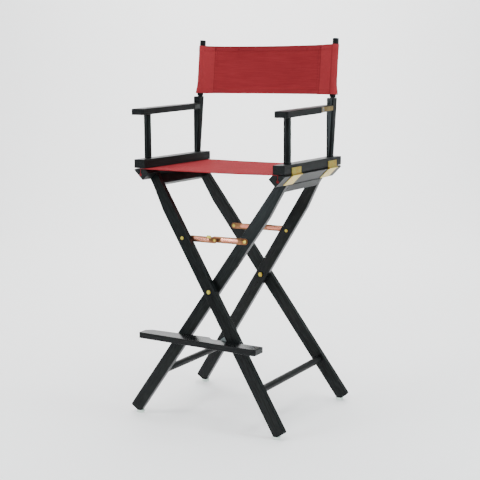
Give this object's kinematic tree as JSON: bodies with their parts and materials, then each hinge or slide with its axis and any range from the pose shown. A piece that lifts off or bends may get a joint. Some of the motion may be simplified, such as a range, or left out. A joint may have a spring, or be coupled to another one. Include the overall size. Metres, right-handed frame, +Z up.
{
  "type": "folding director chair",
  "caption": "Bar-height folding chair with crossed wooden legs, sling canvas seat and back, hinged arms, folding metal stays and a footrest board.",
  "frame": {"origin": "on the floor, under the centre of the chair's box", "axes": "+Z up, +Y to the back, +X to the right as seen from the front"},
  "size_m": [0.5506, 0.4907, 1.1559],
  "materials": {
    "black_wood": "satin black lacquer over visible grain",
    "red_canvas": "heavy plain-weave cotton canvas",
    "yellow_zinc": "yellow chromate zinc plate",
    "stay_steel": "pressed steel, iridescent chromate",
    "bracket_metal": "dull brown-gold plate",
    "grey_plate": "dull zinc",
    "glide_plastic": "translucent nylon",
    "bare_wood": "raw hardwood dowel"
  },
  "bodies": {
    "frame_a": {"leg_a_front": "black_wood", "leg_a_rear": "black_wood", "seat_rail_left": "black_wood", "apron_left": "black_wood", "stretcher_a": "black_wood", "glides_a": "glide_plastic", "pivot_bolts": "yellow_zinc", "pivot_washers": "grey_plate", "stay_bolts_a": "yellow_zinc", "hinge_leaves_rail_left": "yellow_zinc", "seat_dowel_left": "bare_wood", "seat_hem_left": "red_canvas", "footrest_bracket": "grey_plate", "footrest_screw": "grey_plate"},
    "frame_b": {"leg_b_front": "black_wood", "leg_b_rear": "black_wood", "seat_rail_right": "black_wood", "apron_right": "black_wood", "stretcher_b": "black_wood", "glides_b": "glide_plastic", "stay_bolts_b": "yellow_zinc", "hinge_leaves_rail_right": "yellow_zinc", "seat_dowel_right": "bare_wood", "seat_hem_right": "red_canvas", "footrest_peg": "grey_plate"},
    "arm_left": {"arm_base_left": "black_wood", "front_post_left": "black_wood", "rear_post_left": "black_wood", "armrest_left": "black_wood", "arm_bracket_left": "bracket_metal", "arm_plate_left": "grey_plate", "back_dowel_left": "black_wood", "hinge_leaves_arm_left": "yellow_zinc", "hinge_pins_left": "yellow_zinc"},
    "seat_left": {"seat_canvas_left": "red_canvas"},
    "back_left": {"back_canvas_left": "red_canvas"},
    "arm_right": {"arm_base_right": "black_wood", "front_post_right": "black_wood", "rear_post_right": "black_wood", "armrest_right": "black_wood", "arm_bracket_right": "bracket_metal", "arm_plate_right": "grey_plate", "back_dowel_right": "black_wood", "hinge_leaves_arm_right": "yellow_zinc", "hinge_pins_right": "yellow_zinc"},
    "seat_right": {"seat_canvas_right": "red_canvas"},
    "back_right": {"back_canvas_right": "red_canvas"},
    "stay_a_front": {"stay_a_front": "stay_steel", "stay_rivet_front": "yellow_zinc"},
    "stay_b_front": {"stay_b_front": "stay_steel"},
    "stay_a_rear": {"stay_a_rear": "stay_steel", "stay_rivet_rear": "yellow_zinc"},
    "stay_b_rear": {"stay_b_rear": "stay_steel"},
    "footrest": {"footrest_board": "black_wood"}
  },
  "joints": [
    {"name": "fold", "type": "hinge", "parent": "frame_a", "child": "frame_b", "pos_m": [0, 0.01216, 0.405], "axis": [0, -1, 0], "range_deg": [0, 57]},
    {"name": "arm_left_hinge", "type": "hinge", "parent": "frame_a", "child": "arm_left", "pos_m": [-0.2605, 0.01216, 0.763], "axis": [0, -1, 0], "range_deg": [0, 28.8]},
    {"name": "arm_right_hinge", "type": "hinge", "parent": "frame_b", "child": "arm_right", "pos_m": [0.2605, 0.01216, 0.763], "axis": [0, -1, 0], "range_deg": [-28.8, 0]},
    {"name": "seat_left_fold", "type": "hinge", "parent": "frame_a", "child": "seat_left", "pos_m": [-0.212, 0.01216, 0.7657], "axis": [0, -1, 0], "range_deg": [0, 114.81], "deforming": ["seat_canvas_left"]},
    {"name": "seat_right_fold", "type": "hinge", "parent": "frame_b", "child": "seat_right", "pos_m": [0.212, 0.01216, 0.7657], "axis": [0, -1, 0], "range_deg": [-114.81, 0], "deforming": ["seat_canvas_right"]},
    {"name": "back_left_fold", "type": "hinge", "parent": "arm_left", "child": "back_left", "pos_m": [-0.2385, 0.18016, 0.982], "axis": [0, 0.1184, 0.993], "range_deg": [0, 81.5], "deforming": ["back_canvas_left"]},
    {"name": "back_right_fold", "type": "hinge", "parent": "arm_right", "child": "back_right", "pos_m": [0.2385, 0.18016, 0.982], "axis": [0, 0.1184, 0.993], "range_deg": [-81.5, 0], "deforming": ["back_canvas_right"]},
    {"name": "stay_a_front_pivot", "type": "hinge", "parent": "frame_a", "child": "stay_a_front", "pos_m": [-0.10238, -0.1549, 0.55909], "axis": [-0.0252, -0.9948, 0.0991], "range_deg": [-52.6, 0]},
    {"name": "stay_a_rear_pivot", "type": "hinge", "parent": "frame_a", "child": "stay_a_rear", "pos_m": [-0.10238, 0.17922, 0.55909], "axis": [0.0252, -0.9948, -0.0991], "range_deg": [-52.6, 0]},
    {"name": "stay_b_front_pivot", "type": "hinge", "parent": "frame_b", "child": "stay_b_front", "pos_m": [0.10238, -0.1309, 0.55909], "axis": [0.0252, -0.9948, 0.0991], "range_deg": [0, 52.6]},
    {"name": "stay_b_rear_pivot", "type": "hinge", "parent": "frame_b", "child": "stay_b_rear", "pos_m": [0.10238, 0.15521, 0.55909], "axis": [-0.0252, -0.9948, -0.0991], "range_deg": [0, 52.6]},
    {"name": "footrest_swing", "type": "hinge", "parent": "frame_a", "child": "footrest", "pos_m": [0.06, -0.18796, 0.2577], "axis": [-0.0534, -0.9953, 0.0804], "range_deg": [-56.16, 0]}
  ],
  "couplings": [
    {"joint": "arm_left_hinge", "follows": "fold", "ratio": 0.5},
    {"joint": "arm_right_hinge", "follows": "fold", "ratio": -0.5},
    {"joint": "seat_left_fold", "follows": "fold", "ratio": 2.009},
    {"joint": "seat_right_fold", "follows": "fold", "ratio": -2.009},
    {"joint": "back_left_fold", "follows": "fold", "ratio": 1.4246},
    {"joint": "back_right_fold", "follows": "fold", "ratio": -1.4246},
    {"joint": "stay_a_front_pivot", "follows": "fold", "ratio": -0.9175},
    {"joint": "stay_a_rear_pivot", "follows": "fold", "ratio": -0.9175},
    {"joint": "stay_b_front_pivot", "follows": "fold", "ratio": 0.9175},
    {"joint": "stay_b_rear_pivot", "follows": "fold", "ratio": 0.9175},
    {"joint": "footrest_swing", "follows": "fold", "ratio": -0.98}
  ]
}
